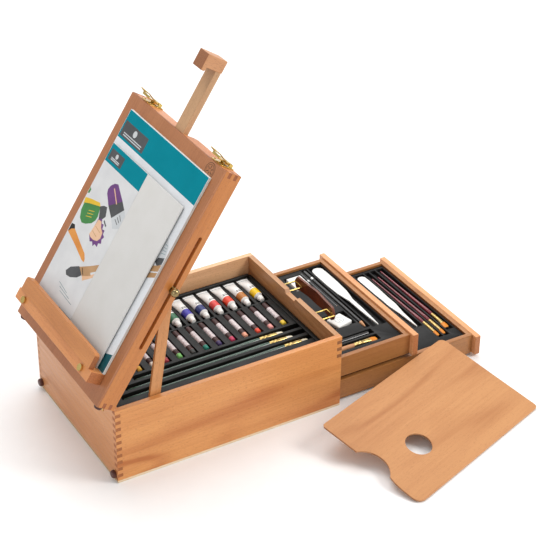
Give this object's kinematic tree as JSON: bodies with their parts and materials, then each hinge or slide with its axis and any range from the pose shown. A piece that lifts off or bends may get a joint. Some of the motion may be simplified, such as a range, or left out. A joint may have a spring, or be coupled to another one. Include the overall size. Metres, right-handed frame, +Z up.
{
  "type": "art supply box",
  "caption": "Wooden art supply box with a lid that opens into a table easel, two drawers, colours, drawing tools, pads and a palette.",
  "frame": {"origin": "centre of the underside of the case", "axes": "+X from the lid hinges towards the drawers, +Y from the front panel to the back panel, +Z up"},
  "size_m": [0.7176, 0.5755, 0.6068],
  "materials": {
    "beech": "oiled, semi-matt",
    "beech_dark": "oiled, semi-matt",
    "plywood": "sanded, matt",
    "brass": "polished plate",
    "brass_pin": "plain",
    "foot_rubber": "matt",
    "black_plastic": "moulded, fine grain",
    "tube_white": "white enamel",
    "white_plastic": "glossy",
    "pastel_wrap": "matt",
    "brush_green": "gloss lacquer",
    "brush_red": "gloss lacquer",
    "leather": "polished",
    "pad_cover": "printed, satin",
    "canvas": "primed, matt"
  },
  "bodies": {
    "case": {"front_panel": "beech", "back_panel": "beech", "left_panel": "beech", "right_end_panel": "beech", "base_board": "plywood", "middle_shelf": "plywood", "tray_shelf": "plywood", "case_feet": "foot_rubber", "tray_insert": "black_plastic", "paint_tubes": "tube_white", "tube_caps": "white_plastic", "oil_pastels": "pastel_wrap", "tray_brush_handles": "brush_green", "tray_brush_ferrules": "brass", "catch_plates": "brass", "handle_mounts": "brass", "case_hinge_leaves": "brass", "hinge_pins": "brass_pin", "strut_pivots": "brass_pin"},
    "lid": {"lid_front_rail": "beech", "lid_back_rail": "beech", "lid_hinge_rail": "beech_dark", "lid_end_rail": "beech", "easel_board": "beech_dark", "mast_guides": "beech", "mast_keepers": "beech", "lid_feet": "foot_rubber", "lid_hinge_leaves": "brass", "latch_plates": "brass", "ledge_shelf": "beech", "ledge_lip": "beech_dark"},
    "mast": {"mast_bar": "beech_dark", "mast_hook": "beech_dark"},
    "ledge_screw_front": {"thumb_screw_front": "brass"},
    "ledge_screw_back": {"thumb_screw_back": "brass"},
    "lever_front": {"latch_lever_front": "brass"},
    "lever_back": {"latch_lever_back": "brass"},
    "bail_front": {"latch_bail_front": "brass_pin"},
    "bail_back": {"latch_bail_back": "brass_pin"},
    "clamp_front": {"knob_front": "brass"},
    "clamp_back": {"knob_back": "brass"},
    "strut_arm_front": {"strut_front": "beech", "strut_nut_front": "brass_pin"},
    "strut_arm_back": {"strut_back": "beech", "strut_nut_back": "brass_pin"},
    "pad": {"sketch_pad": "pad_cover"},
    "canvas": {"canvas_board": "canvas"},
    "handle": {"handle_strap": "leather", "handle_rings": "brass"},
    "upper_drawer": {"upper_drawer_face": "beech", "upper_drawer_walls": "beech", "upper_drawer_bottom": "plywood", "upper_insert": "black_plastic", "upper_drawer_tools": "white_plastic"},
    "lower_drawer": {"lower_drawer_face": "beech", "lower_drawer_walls": "beech", "lower_drawer_bottom": "plywood", "lower_insert": "black_plastic", "lower_drawer_tools": "brush_red"},
    "painting_palette": {"palette": "plywood"}
  },
  "joints": [
    {"name": "lid_hinge", "type": "hinge", "parent": "case", "child": "lid", "pos_m": [-0.2032, 0, 0.13515], "axis": [0, -1, 0], "range_deg": [-57, 10]},
    {"name": "mast_slide", "type": "slide", "parent": "lid", "child": "mast", "axis": [0.5446, 0, 0.8387], "range_m": [-0.103, 0.1]},
    {"name": "latch_lever_front_hinge", "type": "hinge", "parent": "lid", "child": "lever_front", "pos_m": [0.01252, -0.111, 0.48083], "axis": [0, 1, 0], "range_deg": [-5, 65]},
    {"name": "latch_lever_back_hinge", "type": "hinge", "parent": "lid", "child": "lever_back", "pos_m": [0.01252, 0.111, 0.48083], "axis": [0, 1, 0], "range_deg": [-5, 65]},
    {"name": "latch_bail_front_hinge", "type": "hinge", "parent": "lever_front", "child": "bail_front", "pos_m": [0.00686, -0.111, 0.48576], "axis": [0, -1, 0], "range_deg": [-165.5, 10]},
    {"name": "latch_bail_back_hinge", "type": "hinge", "parent": "lever_back", "child": "bail_back", "pos_m": [0.00686, 0.111, 0.48576], "axis": [0, -1, 0], "range_deg": [-165.5, 10]},
    {"name": "clamp_knob_front_slide", "type": "slide", "parent": "lid", "child": "clamp_front", "axis": [0.5446, 0, 0.8387], "range_m": [-0.0131, 0.0742]},
    {"name": "clamp_knob_back_slide", "type": "slide", "parent": "lid", "child": "clamp_back", "axis": [0.5446, 0, 0.8387], "range_m": [-0.0131, 0.0742]},
    {"name": "strut_front_hinge", "type": "hinge", "parent": "case", "child": "strut_arm_front", "pos_m": [-0.132, -0.1338, 0.103], "axis": [0, -1, 0], "range_deg": [-69.6, 12.3]},
    {"name": "strut_back_hinge", "type": "hinge", "parent": "case", "child": "strut_arm_back", "pos_m": [-0.132, 0.1338, 0.103], "axis": [0, -1, 0], "range_deg": [-69.6, 12.3]},
    {"name": "ledge_screw_front_turn", "type": "hinge", "parent": "lid", "child": "ledge_screw_front", "pos_m": [-0.21946, -0.1015, 0.19245], "axis": [-0.8387, 0, 0.5446], "continuous": true},
    {"name": "ledge_screw_back_turn", "type": "hinge", "parent": "lid", "child": "ledge_screw_back", "pos_m": [-0.21946, 0.1075, 0.19245], "axis": [-0.8387, 0, 0.5446], "continuous": true},
    {"name": "pad_slide", "type": "slide", "parent": "lid", "child": "pad", "axis": [0.5446, 0, 0.8387], "range_m": [0, 0.02]},
    {"name": "canvas_slide", "type": "slide", "parent": "lid", "child": "canvas", "axis": [0.5446, 0, 0.8387], "range_m": [0, 0.04]},
    {"name": "handle_hinge", "type": "hinge", "parent": "case", "child": "handle", "pos_m": [0.2045, 0, 0.112], "axis": [0, -1, 0], "range_deg": [0, 45]},
    {"name": "upper_drawer_slide", "type": "slide", "parent": "case", "child": "upper_drawer", "axis": [1, 0, 0], "range_m": [-0.14, 0]},
    {"name": "lower_drawer_slide", "type": "slide", "parent": "case", "child": "lower_drawer", "axis": [1, 0, 0], "range_m": [-0.271, 0.029]},
    {"name": "palette_lift", "type": "slide", "parent": "case", "child": "painting_palette", "axis": [0, 0, 1], "range_m": [0, 0.1]}
  ],
  "couplings": [
    {"joint": "strut_front_hinge", "follows": "lid_hinge", "ratio": 1.2194},
    {"joint": "clamp_knob_front_slide", "follows": "lid_hinge", "m_per_rad": -0.074414},
    {"joint": "strut_back_hinge", "follows": "lid_hinge", "ratio": 1.2194},
    {"joint": "clamp_knob_back_slide", "follows": "lid_hinge", "m_per_rad": -0.074414}
  ]
}
